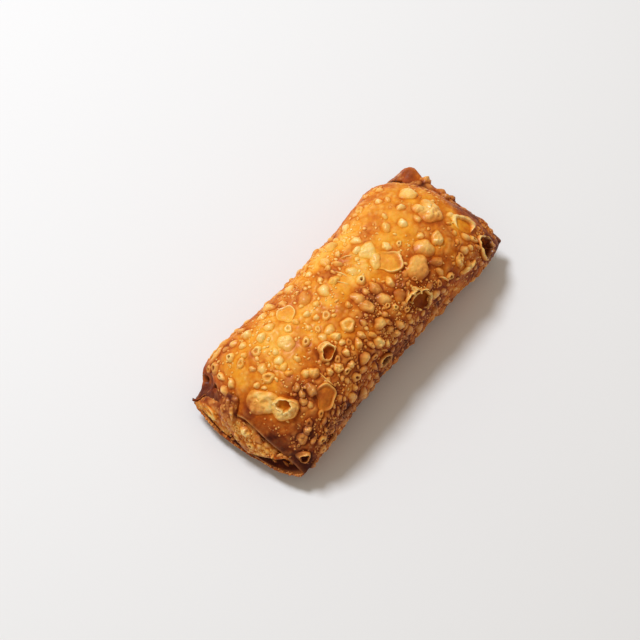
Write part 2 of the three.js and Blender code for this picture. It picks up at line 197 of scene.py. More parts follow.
def bare_skin(x, turn):
    """Points of the plain skin at x and at an angle round it: 0 is the left, a quarter turn the top."""
    cosine, sine = np.cos(turn), np.sin(turn)
    upper = sine >= 0
    power = 2 / np.where(upper, along(UPPER_POWER, x), along(LOWER_POWER, x))
    half_width = np.where(cosine >= 0, along(LEFT_HALF_WIDTH, x), along(RIGHT_HALF_WIDTH, x))
    widest = along(WIDEST_HEIGHT, x)
    half_height = np.where(upper, along(TOP_HEIGHT, x) - widest, widest - along(UNDERSIDE_HEIGHT, x))
    waves = [np.sin(slope * x + count * turn + start) for slope, count, start in WAVES]
    wander = UNEVENNESS * sum(waves) * np.clip(sine + 0.4, 0, 1)
    shift = np.zeros_like(x)
    for lips in (NEAR_LIPS, FAR_LIPS):
        distance = -x * lips["inwards"]
        drawn = np.clip((distance - HALF_LENGTH + lips["drawn"]) / lips["drawn"], 0, 1) ** 2
        shift = shift + drawn * (lip_place(lips, cosine, sine) + lips["inwards"] * HALF_LENGTH)
    y = (half_width + wander) * signed_power(cosine, power)
    z = widest + (half_height + wander) * signed_power(sine, power)
    return np.stack([x + shift, y, np.maximum(z, FOOT_RISE)], -1)


def top_height(x, y):
    """The height of the upper skin, before it is drawn out to its lips."""
    half_width = np.where(y > 0, along(LEFT_HALF_WIDTH, x), along(RIGHT_HALF_WIDTH, x))
    power, widest = along(UPPER_POWER, x), along(WIDEST_HEIGHT, x)
    across = np.clip(np.abs(y) / half_width, 0, 0.995)
    return widest + (along(TOP_HEIGHT, x) - widest) * (1 - across ** power) ** (1 / power)


def bare_tongue(across, down):
    """Points of the near end's first fold, in millimetres from its left end and from root, 0, to rim, 1."""
    y = TONGUE["left"] - np.clip(across, 0, TONGUE["left"] - TONGUE["right"])
    v = np.clip(down, 0, 1)
    lies = ease(TONGUE["lies_from"], TONGUE["lies_to"], y)
    rim_height = along(TONGUE_RIM_HEIGHT, y)
    tucked = np.maximum(along(NEAR_LIP_HEIGHT, y) - 0.8, rim_height + 0.6)
    root_height = blend(tucked, top_height(np.full_like(y, TONGUE["laid_on"]), y) + 0.2, lies)
    root = blend(TONGUE["root"], TONGUE["skin_root"], lies)
    x = blend(root, along(TONGUE_RIM, y), np.sin(v * np.pi / 2) ** 0.8)
    return np.stack([x, y, blend(root_height, rim_height, v ** blend(1.3, 1.6, lies))], -1)


def bare_ear(across, down):
    """Points of the near end's left flap, in millimetres from its left end and from skin, 0, to lip, 1."""
    y = EAR["left"] - np.clip(across, 0, EAR["left"] - EAR["right"])
    v = np.clip(down, 0, 1)
    turn = v * np.pi / 2
    wide = ease(0, EAR["narrowing"], across)
    under = ease(EAR["under_from"], EAR["under_to"], y)
    on_skin = top_height(np.full_like(y, EAR["laid_on"]), np.minimum(y, EAR["laid_to"]))
    root_height = blend(on_skin, EAR["under_height"], under)
    root = blend(EAR["tip"], EAR["root"], wide)
    groove = EAR["groove"] * hump(v, EAR["groove_at"], EAR["groove_width"]) * wide
    x = blend(root, along(EAR_LIP, y), np.sin(turn) ** 0.9) + 0.7 * groove
    z = blend(along(EAR_LIP_HEIGHT, y), blend(EAR["tip_height"], root_height, wide), np.cos(turn) ** 0.9)
    return np.stack([x, y, z - 0.7 * groove], -1)


def bare_hem(turn, around):
    """Points of the near end's rolled lower edge, at an angle round the roll and one round the hem."""
    middle = bare_skin(np.full_like(turn, -HALF_LENGTH), turn)
    cosine, sine = np.cos(around), np.sin(around)
    return middle + HEM["radius"] * np.stack([-cosine, 0 * cosine, sine + 0.3], -1)


def ledge_top(y):
    """The height of the far end's puffed fold, lower at its right corner and its left shoulder."""
    corner = np.clip((LEDGE["corner_from"] - y) / (LEDGE["corner_from"] - LEDGE["right"]), 0, 1)
    shoulder = np.clip((y - LEDGE["shoulder_from"]) / (LEDGE["left"] - LEDGE["shoulder_from"]), 0, 1)
    middle = LEDGE["top"] - LEDGE["fall"] * (y - LEDGE["crown_at"]) ** 2
    return middle - LEDGE["corner_drop"] * corner ** 1.5 - LEDGE["shoulder_drop"] * shoulder ** 2


def bare_ledge(y, turn):
    """Points of the far end's puffed fold at y and at an angle over its nose, from its top to its foot."""
    y = np.clip(y, LEDGE["right"], LEDGE["left"])
    u = (LEDGE["left"] - y) / (LEDGE["left"] - LEDGE["right"])
    rounded_off = np.sqrt(np.clip(1 - (1 - np.clip(u / LEDGE["rounded"], 0, 1)) ** 2, 0, 1))
    furthest = blend(LEDGE["nose"], LEDGE["nose_right"], u)
    nose = blend(LEDGE["root"] + LEDGE["least"], furthest, rounded_off)
    top = ledge_top(y)
    middle = (top + LEDGE["foot"]) / 2
    power = 2 / LEDGE["squareness"]
    x = blend(LEDGE["root"], nose, np.abs(np.sin(turn)) ** power)
    return np.stack([x, y, middle + (top - middle) * signed_power(np.cos(turn), power)], -1)


def outwards(surface, p, q, wide=0.1, turned=0.005):
    """A surface's two directions per unit of p and of q, and its outward direction."""
    at_p = (surface(p + wide, q) - surface(p - wide, q)) / (2 * wide)
    at_q = (surface(p, q + turned) - surface(p, q - turned)) / (2 * turned)
    out = np.cross(at_q, at_p)
    return at_p, at_q, out / (np.linalg.norm(out, axis=-1, keepdims=True) + 1e-9)


def lumpy(surface, tall):
    """The surface with the slow unevenness of fried skin."""
    def made(p, q):
        points = surface(p, q)
        lift = tall * (0.32 * noise(points, 9.0, 1) + 0.22 * noise(points, 4.5, 2))
        return points + outwards(surface, p, q)[2] * lift[..., None]
    return made


skin = lumpy(bare_skin, 1.0)
tongue = lumpy(bare_tongue, 1.0)
ear = lumpy(bare_ear, 1.2)
hem = lumpy(bare_hem, 1.2)
ledge = lumpy(bare_ledge, 1.8)


# ------------------------------------------------------------------ browning

# Patches of skin: place along X, degrees round the roll, half-length, half-width in degrees, how much more
# it is browned there, and how much redder.
PATCHES = [
    (-57, 20, 7, 28, 0.30, 0.85), (-50, 32, 6, 18, 0.05, 0.45), (-58, 150, 6, 30, 0.14, 0.15),
    (-52, 125, 5, 16, 0.04, 0.15), (-36, 104, 5, 7, 0.18, 0.20), (-57, 70, 4, 30, 0.12, 0.30),
    (-16, 69, 6, 10, 0.22, 0.60), (6, 74, 7, 8, 0.05, 0.35), (2, 100, 4, 5, 0.20, 0.45),
    (10, 55, 16, 10, -0.16, 0.10), (38, 84, 4, 8, 0.22, 0.45), (34, 58, 14, 16, 0.10, 0.30),
    (-20, 86, 9, 8, -0.10, 0.0), (4, 90, 7, 7, -0.12, 0.0), (17, 95, 6, 8, 0.06, 0.0),
    (-38, 75, 8, 12, -0.04, 0.0), (56, 60, 5, 20, 0.12, 0.45), (36, 121, 14, 8, -0.16, 0.0),
    (56, 160, 8, 22, -0.14, 0.20), (58, 22, 6, 20, -0.16, 0.40), (-52.5, 143, 5, 13, 0.28, 0.25),
    (-57.5, 118, 3.5, 14, 0.02, 0.35), (-53.5, 30, 4, 12, 0.06, 0.30), (38, 98, 7, 9, 0.14, 0.20),
    (-9, 98, 6, 6, 0.24, 0.10), (-36, 116, 6, 6, 0.20, 0.10), (-52, 112, 4, 10, -0.20, 0.0),
    (-20, 58, 6, 8, 0.12, 0.20), (-50.5, 84, 5, 6, 0.12, 0.10), (50, 120, 6, 12, -0.22, 0.0),
    (2, 112, 7, 9, 0.18, 0.10), (25, 119, 8, 9, -0.12, -0.30),
]


def skin_toast(x, turn, points):
    """How brown the skin is fried, from 0, pale gold, to 1, nearly black, and how red."""
    degrees = np.degrees(turn)
    brown = 0.20 + 0.34 * ease(50, 63, np.abs(x)) + 0.34 * ease(88, 132, degrees)
    brown = brown + 0.14 * ease(140, 175, degrees) + 0.26 * ease(62, 8, degrees)
    mottled = ease(0.1, 0.5, noise(points, 7.0, 25))
    ruddy = 0.35 * mottled + 0.35 * ease(66, 30, degrees)
    for place, middle, length, width, more, redder in PATCHES:
        here = hump(x, place, length) * hump(degrees, middle, width)
        brown = brown + more * here
        ruddy = ruddy + redder * here
    return brown + 0.15 * noise(points, 9.0, 5) + 0.12 * noise(points, 3.6, 6) + 0.14 * mottled, ruddy


def tongue_toast(across, down, points):
    # Browner along its root, where it meets the upper sheet: painted shade in the groove there.
    brown = 0.54 + 0.26 * ease(0.3, 0.0, down) + 0.28 * noise(points, 4.0, 7)
    return brown, 0.15 + 0.5 * ease(7, 1, across) + 0.25 * noise(points, 6.0, 8)


def ear_toast(across, down, points):
    # Paler towards its lip, whose steep face turns from the lamp: partly its own orange colour and partly
    # painted light.
    brown = 0.76 - 0.30 * ease(0.42, 0.7, down) + 0.12 * noise(points, 4.0, 7)
    return brown, 0.95 * ease(0.75, 0.4, down)


def hem_toast(turn, around, points):
    return 0.68 + 0.2 * noise(points, 3.0, 7), 0.3 + 0.2 * noise(points, 5.0, 8)


def ledge_toast(y, turn, points):
    # Browner at its top, where it meets the upper sheet: painted shade in the groove there. Browner also
    # towards its foot.
    brown = 0.64 + 0.20 * ease(0.7, 0.1, turn) + 0.22 * ease(1.2, 2.2, turn) + 0.2 * noise(points, 4.0, 7)
    return brown - 0.03 * ease(8, 15, y), 0.3 + 0.6 * ease(8, 15, y) + 0.25 * noise(points, 5.0, 8)


# ------------------------------------------------------------------ blisters

# A burst blister's hole: its direction and distance from the middle and its size, as shares of the radius,
# how ragged its rim is, its depth and how far painted shade darkens it inside.
Hole = namedtuple("Hole", "towards offset size ragged depth dark")
NO_HOLE = Hole(0, 9, 0.1, 0, 0, 0)  # it lies far outside the blister

# Where a blister is on its surface, how large and tall it is, its kind, how far it is stretched, the
# direction of that in degrees, and how far its two ends are bent aside.
Blister = namedtuple(
    "Blister", "p q radius height kind stretch spin bend hole", defaults=(1.0, 0.0, 0.0, NO_HOLE))

# How a kind of blister is shaped: its edge curve's power, how lumpy it is, how pale its crown and how tall
# its rim's ridge; then its hollow, how deep, from where to where, how pale, and how far painted shade
# darkens it.
Kind = namedtuple(
    "Kind", "edge lumps crown ridge hollow outer inner floor dark", defaults=(0, 0, 0, -1, 0, 0))
KINDS = {
    "dome": Kind(1.15, 0.20, 1.00),
    "lumpy": Kind(0.95, 0.60, 0.95),
    "flat": Kind(0.70, 0.30, 0.75, 0, 0.20, 0.7, 0.3, 0.6),
    "crumpled": Kind(0.65, 0.70, 0.95, 0, 0.50, 0.75, 0.15, 0.4),
    "sunk": Kind(0.80, 0.25, 1.00, 0, 0.65, 0.75, 0.2, 0.15),
    "ring": Kind(0.85, 0.15, 0.95, 0, 0.90, 0.62, 0.15, 0.1, 0.2),
    "pit": Kind(0.95, 0.15, 1.00, 0, 0.90, 0.38, 0.12, 0.0, 0.8),
    "window": Kind(0.60, 0.18, 0.30, 0.9, 0.60, 0.97, 0.75, 0.12),
    "burst": Kind(0.60, 0.30, 0.85, 0.25),
    "flap": Kind(0.60, 0.35, 1.00),
    "mound": Kind(1.20, 0.15, 0.15),
}

# Place along X, degrees round the roll, radius, height, kind, stretch and its direction.
MAIN_BLISTERS = [
    (-53.2, 95.5, 5.5, 1.1, "crumpled", 1.15, 60), (-37.6, 136, 4.4, 0.9, "window", 1.05, 20),
    (-45.4, 90, 2.4, 1.3, "ring"), (-45.8, 52, 1.9, 1.4, "pit"), (-34.7, 114, 2.2, 1.7, "dome"),
    (-36.6, 109, 1.7, 1.3, "dome", 1.2, 40), (-19.6, 109, 1.9, 1.5, "dome"),
    (-13.2, 110, 2.8, 1.7, "sunk", 1.15, 30), (-22.9, 69, 3.6, 0.9, "window", 1.25, -30),
    (3.9, 95, 2.0, 1.6, "pit"), (16.2, 101, 5.0, 0.9, "window", 1.1, 60),
    (13.2, 94, 2.6, 0.9, "flat", 1.5, -40), (37.0, 149, 2.2, 1.2, "lumpy", 2.0, -56),
    (15.0, 86.0, 3.3, 0.6, "lumpy", 1.2), (29.9, 114.5, 3.8, 1.9, "dome", 1.0, 10),
    (21.8, 122, 4.8, 1.3, "flat", 1.1), (17.6, 126, 1.1, 0.9, "ring"),
    (44.6, 99, 5.5, 1.5, "lumpy", 1.05, 90), (42.0, 92, 2.6, 1.4, "dome", 1.2, 80),
    (46.3, 74, 3.7, 1.2, "flat", 1.1, 80), (48.8, 141.5, 1.8, 1.0, "pit", 1.3, 60),
    (38.6, 145, 1.6, 1.0, "ring", 1.3, 90), (3.6, 118, 2.8, 1.1, "dome", 1.2, 45),
    (2.6, 125, 1.2, 0.9, "ring"), (4.5, 132, 1.3, 0.9, "pit"), (-4.1, 132, 2.5, 1.3, "dome", 1.15, 45),
    (1.8, 151, 2.1, 1.2, "dome", 1.3, 60), (4.4, 167, 2.2, 1.3, "flat", 1.3, 90),
    (-24.2, 152, 2.1, 1.1, "pit", 1.3, 30), (-17.5, 144, 2.4, 1.5, "dome"),
    (-53.0, 143, 2.3, 0.8, "lumpy", 1.3), (-49.8, 142, 1.8, 0.9, "lumpy", 1.3, 20),
    (-32.1, 86, 3.0, 1.0, "flat", 1.1), (-35.2, 67, 1.9, 1.1, "dome"), (-36.4, 51, 2.2, 1.1, "dome", 1.2),
    (-40.1, 71, 2.0, 1.0, "ring"), (-52.4, 48, 1.9, 1.1, "pit", 1.3, 90),
    (-53.0, 61, 1.9, 1.1, "dome", 1.2, 45), (-51.4, 29, 1.5, 0.8, "ring", 1.5),
    (-46.4, 29, 2.6, 0.9, "flat", 2.2), (-21.5, 125, 1.6, 1.2, "dome"), (-23.1, 137, 1.6, 1.1, "dome"),
    (-18.0, 90, 1.5, 1.0, "dome"), (-18.9, 84, 1.4, 0.9, "dome"), (20.7, 93, 1.9, 0.8, "lumpy"),
    (12.8, 80, 1.7, 0.8, "dome", 1.2), (32.6, 91, 2.0, 1.0, "dome"), (38.1, 82, 1.8, 0.9, "dome", 1.1),
    (36.0, 60, 1.6, 0.9, "dome"), (30.1, 154, 1.8, 1.1, "pit"), (24.4, 150, 1.4, 0.9, "ring"),
    (-47.7, 164, 2.0, 1.0, "pit", 1.6, 30), (-48.9, 178, 2.0, 1.0, "pit", 1.6, 30),
    (-9.0, 146, 2.6, 1.2, "lumpy", 1.4, 80), (-30.5, 125, 1.5, 1.0, "dome"),
    (-27.3, 129, 1.9, 1.2, "lumpy", 1.2, 90), (21.9, 167, 1.1, 0.9, "dome"),
    (7.4, 143.5, 1.2, 0.8, "ring"), (-29.4, 167, 2.6, 1.0, "flat", 1.8, 60),
]
# The same without the kind, then its hole.
BURST_BLISTERS = [
    (-49.8, 114.5, 4.9, 1.9, 1.0, 20, Hole(-50, 0.36, 0.48, 0.36, 0.1, 0.20)),
    (-26.1, 111, 3.4, 1.9, 1.1, 0, Hole(70, 0.26, 0.70, 0.10, 0.1, 0.12)),
    (51.0, 125, 4.9, 1.3, 1.1, 60, Hole(140, 0.30, 0.74, 0.10, 0.2, 0.0)),
    (51.8, 157.5, 5.0, 1.7, 1.2, 135, Hole(0, 0.0, 0.84, 0.16, 2.2, 1.00)),
    (14.6, 146, 5.2, 1.2, 1.2, 60, Hole(120, 0.26, 0.84, 0.60, 0.7, 0.60)),
    (-10.1, 170, 3.4, 1.6, 1.8, 29, Hole(-90, 0.08, 0.62, 0.25, 1.4, 0.95)),
    (-56.6, 156, 2.6, 1.4, 1.3, 30, Hole(90, 0.15, 0.62, 0.20, 0.2, 0.10)),
]
# Torn skin that stands up: place along X, degrees, half-length, half-width, height, direction, and how far
# its ends are bent aside.
FLAPS = [
    (12.2, 134.5, 4.2, 0.55, 1.5, 0, 1.2), (18.6, 150, 4.8, 0.50, 1.3, 72, -0.9),
    (13.4, 139, 3.0, 0.50, 1.3, -4, 0.8), (39.0, 162.5, 4.6, 1.20, 1.4, 0, -0.8),
    (-33.4, 127.5, 3.6, 0.40, 0.9, 88, -0.4), (27.5, 150, 3.0, 0.45, 1.1, 60, 0.7),
    (8.5, 76, 2.2, 0.35, 0.7, 40, 0.3), (1.5, 83, 2.8, 0.30, 0.6, 75, 0.2),
    (-1.5, 88, 2.4, 0.30, 0.6, 60, -0.3), (-44.0, 21, 4.5, 0.45, 1.0, 6, 0.6),
]
# Deep holes in the skin above the near end's left corner, X, degrees, radius and depth, and the smooth
# hollow that they lie in.
PITS = [(-54.2, 10, 2.1, 3.4), (-56.2, 38, 1.7, 2.2)]
HOLLOW = dict(x=-54.6, degrees=24, radius=5.5, depth=2.2)
# Where tiny beads crowd together: X, Y and Z, and over how many millimetres.
BEAD_PATCHES = [
    (-41.2, -8.0, 32.5, 4.5), (-49.5, -22.0, 14.0, 5.0), (-52.0, -17.0, 18.0, 5.0), (6.0, -18.0, 29.0, 5.0),
]

CUT = -0.3  # how far below its middle a ball is cut off, where it is buried in the skin
SLANT = 0.25  # how much taller a blister is on one side than in its middle
RIDGE_AT, RIDGE_WIDTH = 0.88, 0.07  # where a rim's ridge is, and its width, as shares of the radius
TORN_RIM, TORN_WIDTH = 1.12, 0.11  # the same of a hole's curled rim, as shares of the hole's size
PALER = 0.42  # how much less a pale blister's crown is browned than the skin round it
TRIES = 14  # how many random places are tried for each scattered blister


def cut_ball(around, rings):
    """A ball of radius 1 made of rings, without its lowest part."""
    bm = bmesh.new()
    bmesh.ops.create_uvsphere(bm, u_segments=around, v_segments=rings, radius=1)
    return cut_off(bm)


def cut_bead():
    """A coarser ball of radius 1, without its lowest part."""
    bm = bmesh.new()
    bmesh.ops.create_icosphere(bm, subdivisions=2, radius=1)
    return cut_off(bm)


def cut_off(bm):
    """A ball's points and faces as arrays, once its lowest part is cut off and closed."""
    everything = bm.verts[:] + bm.edges[:] + bm.faces[:]
    bmesh.ops.bisect_plane(bm, geom=everything, plane_co=(0, 0, CUT), plane_no=(0, 0, -1), clear_outer=True)
    bmesh.ops.holes_fill(bm, edges=[e for e in bm.edges if e.is_boundary], sides=0)
    bm.verts.index_update()
    points = np.array([v.co for v in bm.verts])
    faces = [[v.index for v in f.verts] for f in bm.faces]
    bm.free()
    return points, faces


# What the finish reads at each point: browning, redness, paleness, and painted shade in holes, pits and
# pockets.
MARKS = ("toast", "ruddy", "pale", "dark")


def finished(name, mesh, points, marks):
    """The piece of a mesh whose points are given in the roll's own frame, shaded smooth and marked."""
    settled = (points - BOX_MIDDLE) * MM
    mesh.vertices.foreach_set("co", settled.ravel())
    for mark in MARKS:
        layer = mesh.attributes.new(mark, "FLOAT", "POINT")
        if mark in marks:
            layer.data.foreach_set("value", np.clip(marks[mark], 0, 1))
    mesh.polygons.foreach_set("use_smooth", np.ones(len(mesh.polygons), bool))
    mesh.update()
    piece = bpy.data.objects.new(name, mesh)
    bpy.context.scene.collection.objects.link(piece)
    return piece


class Joined:
    """Many shapes gathered into one mesh, with what the skin's finish reads at each point."""

    def __init__(self, name):
        self.name, self.count = name, 0
        self.points, self.faces, self.marks = [], [], {mark: [] for mark in MARKS}

    def add(self, points, faces, marks):
        """Adds copies of a shape: each copy's points, the faces of one, and the marks of every point."""
        copies, size = points.shape[:2]
        for copy in range(copies):
            start = self.count + copy * size
            self.faces.extend([[start + i for i in face] for face in faces])
        self.count += copies * size
        self.points.append(points.reshape(-1, 3))
        for mark, values in self.marks.items():
            values.append(np.broadcast_to(np.asarray(marks[mark], float), points.shape[:2]).ravel())

    def finish(self):
        mesh = bpy.data.meshes.new(self.name)
        points = np.concatenate(self.points)
        mesh.from_pydata(points, [], self.faces)
        marks = {mark: np.concatenate(values) for mark, values in self.marks.items()}
        return finished(self.name, mesh, points, marks)


def lifted(blisters, ball, points):
    """How far each blister stands up at each point of its ball, how pale, and its painted shade in hollow
    and hole.
    """
    kind = Kind(*np.array([KINDS[b.kind] for b in blisters]).T[..., None])
    hole = Hole(*np.array([b.hole for b in blisters]).T[..., None])
    height = np.array([b.height for b in blisters])[:, None]
    spin = np.radians([b.spin for b in blisters])[:, None]
    reach = np.hypot(ball[:, 0], ball[:, 1])
    wobble = noise(points, 1.1, 11) + 0.5 * noise(points, 0.55, 13)
    side = ball[:, 0] * np.cos(spin) + ball[:, 1] * np.sin(spin)
    shell = np.clip(1 - reach ** 2, 0, 1) ** kind.edge * (1 + kind.lumps * wobble) * (1 + SLANT * side)
    hollow = ease(kind.outer, kind.inner, reach)
    ridge = kind.ridge * hump(reach, RIDGE_AT, RIDGE_WIDTH) * ease(-0.7, 0.3, side)
    lift = height * (shell - kind.hollow * hollow + ridge)
    pale = kind.crown * np.clip(shell, 0, 1) ** 0.9 * (1 - hollow) + kind.floor * hollow + ridge

    towards = np.radians(hole.towards)
    from_x = ball[:, 0] - hole.offset * np.cos(towards)
    from_y = ball[:, 1] - hole.offset * np.sin(towards)
    torn = noise(points, 2.4, 12) + 0.7 * noise(points, 1.2, 14)
    away = np.hypot(from_x, from_y) / hole.size * (1 + hole.ragged * torn)
    inside = ease(1.03, 0.92, away)
    rim = hump(away, TORN_RIM, TORN_WIDTH) * ease(1.0, 0.9, reach)
    lift = blend(lift + 0.2 * height * rim, -hole.depth, inside)
    pale = blend(pale + 0.8 * rim, 0.0, inside)
    # Painted shade in the hollow and inside the hole.
    dark = kind.dark * hollow + hole.dark * ease(1.09, 0.98, away)

    below = np.clip(ball[:, 2] / CUT, 0, 1)
    buried = -0.35 - np.where(hole.depth > 0, hole.depth + 0.25, 0)
    lift = np.where(ball[:, 2] > 0, lift, buried * below)
    return lift, pale * (below == 0), dark * (below == 0)


def raise_blisters(joined, shape, surface, toast, blisters, tint):
    """Lays balls on a surface and adds them to the joined piece, each shaped as its blister says."""
    ball, faces = shape
    fields = ("p", "q", "radius", "stretch", "spin", "bend")
    columns = np.array([[getattr(b, f) for f in fields] for b in blisters]).T
    p, q, radius, stretch, spin, bend = columns[..., None]
    reach = np.hypot(ball[:, 0], ball[:, 1])
    around = np.arctan2(ball[:, 1], ball[:, 0])
    wave = 3.1 * np.arange(len(blisters))[:, None]
    outline = 1 + 0.10 * np.sin(2 * around + wave) + 0.08 * np.sin(3 * around + 2.1 * wave) \
        + 0.05 * np.sin(5 * around + 3.7 * wave)
    spin, stretch = np.radians(spin), np.sqrt(stretch)
    long = ball[:, 0] * np.cos(spin) + ball[:, 1] * np.sin(spin)
    wide = ball[:, 1] * np.cos(spin) - ball[:, 0] * np.sin(spin)
    aside = bend * long ** 2
    long, wide = long * outline * radius * stretch, wide * outline * radius / stretch + aside
    at_p, at_q, _ = outwards(surface, p, q)
    p = p + (long * np.cos(spin) - wide * np.sin(spin)) / np.linalg.norm(at_p, axis=-1)
    q = q + (long * np.sin(spin) + wide * np.cos(spin)) / np.linalg.norm(at_q, axis=-1)
    points = surface(p, q)
    lift, pale, dark = lifted(blisters, ball, points)
    points = points + outwards(surface, p, q)[2] * lift[..., None]
    points[..., 2] = np.maximum(points[..., 2], FOOT_RISE)
    brown, ruddy = toast(p, q, points)
    pale = np.clip(pale, 0, 1) * (tint + (1 - tint) * np.abs(np.sin(7.1 * wave)))
    brown = brown - PALER * tint * pale
    joined.add(points, faces, dict(toast=brown, ruddy=ruddy * (1 - pale), pale=pale, dark=dark))


def scattered(surface, spans, crowding, count, radii, seed, spacing, taken):
    """Seeded random places on a surface, thicker where they crowd, and clear of the blisters there."""
    tries = TRIES * count
    random = np.random.default_rng(seed)
    p, q = random.uniform(*spans[0], tries), random.uniform(*spans[1], tries)
    keep, size, form = random.random((3, tries))
    radius = blend(*radii, size ** 2)
    at = surface(p, q)
    centres = np.empty((len(taken) + count, 3))
    sizes = np.empty(len(taken) + count)
    for i, blister in enumerate(taken):
        centres[i], sizes[i] = surface(np.array(blister.p), np.array(blister.q)), blister.radius
    filled, found = len(taken), []
    for i in np.flatnonzero(keep < crowding(p, q, at)):
        if len(found) == count:
            break
        clear = np.linalg.norm(centres[:filled] - at[i], axis=1) > spacing * (sizes[:filled] + radius[i])
        if clear.all():
            centres[filled], sizes[filled] = at[i], radius[i]
            filled += 1
            found.append((p[i], q[i], radius[i], form[i]))
    return found


def small_blister(p, q, radius, form):
    """A blister of a kind and height that follow from its random form, from 0 to 1."""
    kind = "dome" if form < 0.60 else "ring" if form < 0.68 else "pit" if form < 0.73 else "lumpy"
    return Blister(p, q, radius, radius * (0.32 + 0.28 * form), kind, 1 + 0.6 * form, 500 * form)


def beads(joined, surface, toast, places):
    """Tiny bubbles, each a small ball half sunk in the surface."""
    ball, faces = cut_bead()
    p, q, radius, form = np.array(places).T[..., None]
    centre = surface(p, q)
    at_p, _, out = outwards(surface, p, q)
    at_p = at_p / np.linalg.norm(at_p, axis=-1, keepdims=True)
    side = np.cross(out, at_p)
    flat = ball[:, :1] * at_p + ball[:, 1:2] * side
    points = centre + radius[..., None] * (flat + (0.6 + 0.4 * form[..., None]) * ball[:, 2:] * out)
    points[..., 2] = np.maximum(points[..., 2], FOOT_RISE)
    brown, ruddy = toast(p, q, centre)
    pale = (0.45 + 0.55 * form) * np.clip(ball[:, 2] + 0.2, 0, 1)
    joined.add(points, faces, dict(toast=brown - 0.05, ruddy=0.5 * ruddy, pale=pale, dark=0.0))


# ------------------------------------------------------------------ the wrapper

STATIONS = 282
COLUMNS = 330
UPPER_SHARE = 0.87  # of the columns, on the part of the roll that shows
UPPER_START, UPPER_END = math.radians(-22), math.radians(202)
POCKET_RINGS = (0.95, 0.88, 0.75, 0.6, 0.45, 0.3, 0.15, 0.03)  # their radii, before an end is shaped


def plain_tube():
    """A tube of radius 1 and length 1 with its ends folded inwards: the wrapper before it is shaped."""
    bm = bmesh.new()
    bmesh.ops.create_cone(bm, cap_ends=False, segments=COLUMNS, radius1=1, radius2=1, depth=1)
    lengthwise = [e for e in bm.edges if abs(e.verts[0].co.z - e.verts[1].co.z) > 0.5]
    bmesh.ops.subdivide_edges(bm, edges=lengthwise, cuts=STATIONS - 1, use_grid_fill=True)
    for end in (-0.5, 0.5):
        rim = [e for e in bm.edges if e.is_boundary and abs(e.verts[0].co.z - end) < 1e-4]
        for radius in POCKET_RINGS:
            made = bmesh.ops.extrude_edge_only(bm, edges=rim)["geom"]
            rim = [g for g in made if isinstance(g, bmesh.types.BMEdge)]
            for vert in {v for e in rim for v in e.verts}:
                vert.co.xy = vert.co.xy.normalized() * radius
        bmesh.ops.holes_fill(bm, edges=rim, sides=0)
    bmesh.ops.recalc_face_normals(bm, faces=bm.faces)
    return bm


def columns_to_turn(share):
    """The angle round the roll of a share of the columns, close together where the roll shows."""
    upper = blend(UPPER_START, UPPER_END, share / UPPER_SHARE)
    lower = blend(UPPER_END, UPPER_START + 2 * math.pi, (share - UPPER_SHARE) / (1 - UPPER_SHARE))
    return np.where(share < UPPER_SHARE, upper, lower)


def pocket(lips):
    """The inside of an open end: its lip's thickness, then a floor that is deeper on the right."""
    end = -HALF_LENGTH * lips["inwards"]
    ring = skin(np.full(COLUMNS, end), np.linspace(0, 2 * math.pi, COLUMNS))
    middle, size = (ring.min(axis=0) + ring.max(axis=0)) / 2, np.ptp(ring, axis=0)

    def made(radius, turn):
        x, y, z = np.moveaxis(skin(np.full_like(turn, end), turn), -1, 0)
        depth = (0.6 + 1.6 * ease(12, -10, y)) * ease(0.92, 0.7, radius)
        wide = np.where(radius > 0.9, 1 - 2 * WALL / size[1], radius)
        tall = np.where(radius > 0.9, 1 - 2 * WALL / size[2], radius)
        flat = blend(ring[:, 0].mean(), x, np.clip(1.2 * radius, 0, 1))
        y, z = blend(middle[1], y, wide), blend(middle[2], z, tall)
        return np.stack([flat + lips["inwards"] * depth, y, z], -1)
    return made


def skin_crowding(x, turn, points):
    """How thickly small blisters cover the skin, from 0 to 1."""
    degrees = np.degrees(turn)
    pinched = ease(-49, -53, x) * ease(52, 40, degrees)
    middle = ease(54, 44, np.abs(x)) * ease(30, 14, x)
    left = 0.15 + 0.25 * ease(28, 56, degrees)
    return blend(left, 1.0, ease(88, 126, degrees)) * (0.32 + 0.68 * middle) * (1 - pinched)


def lump_crowding(x, turn, points):
    """The same for the larger ones, which keep off the ends and are fewer on top and on the left."""
    degrees = np.degrees(turn)
    middle = ease(52, 42, np.abs(x)) * ease(34, 12, x)
    left = 0.12 + 0.33 * ease(28, 56, degrees)
    return blend(left, 1.0, ease(90, 125, degrees)) * (0.20 + 0.80 * middle)


def everywhere(p, q, points):
    return np.ones_like(p)


def soft_lumps(points, crowded):
    """The soft lumps between the blisters, 1 on top of each and 0 between: large ones, then small ones."""
    patchy = ease(-0.35, 0.3, noise(points, 6.0, 24))
    moved = wandering(points, 1.0, 2.8, 51)
    large = pebbles(moved, 4.3, 61) * np.clip(crowded, 0, 1) * patchy
    small = pebbles(moved, 2.1, 31) * (0.4 + 0.6 * ease(0.3, -0.3, noise(points, 5.0, 27)))
    return large, small


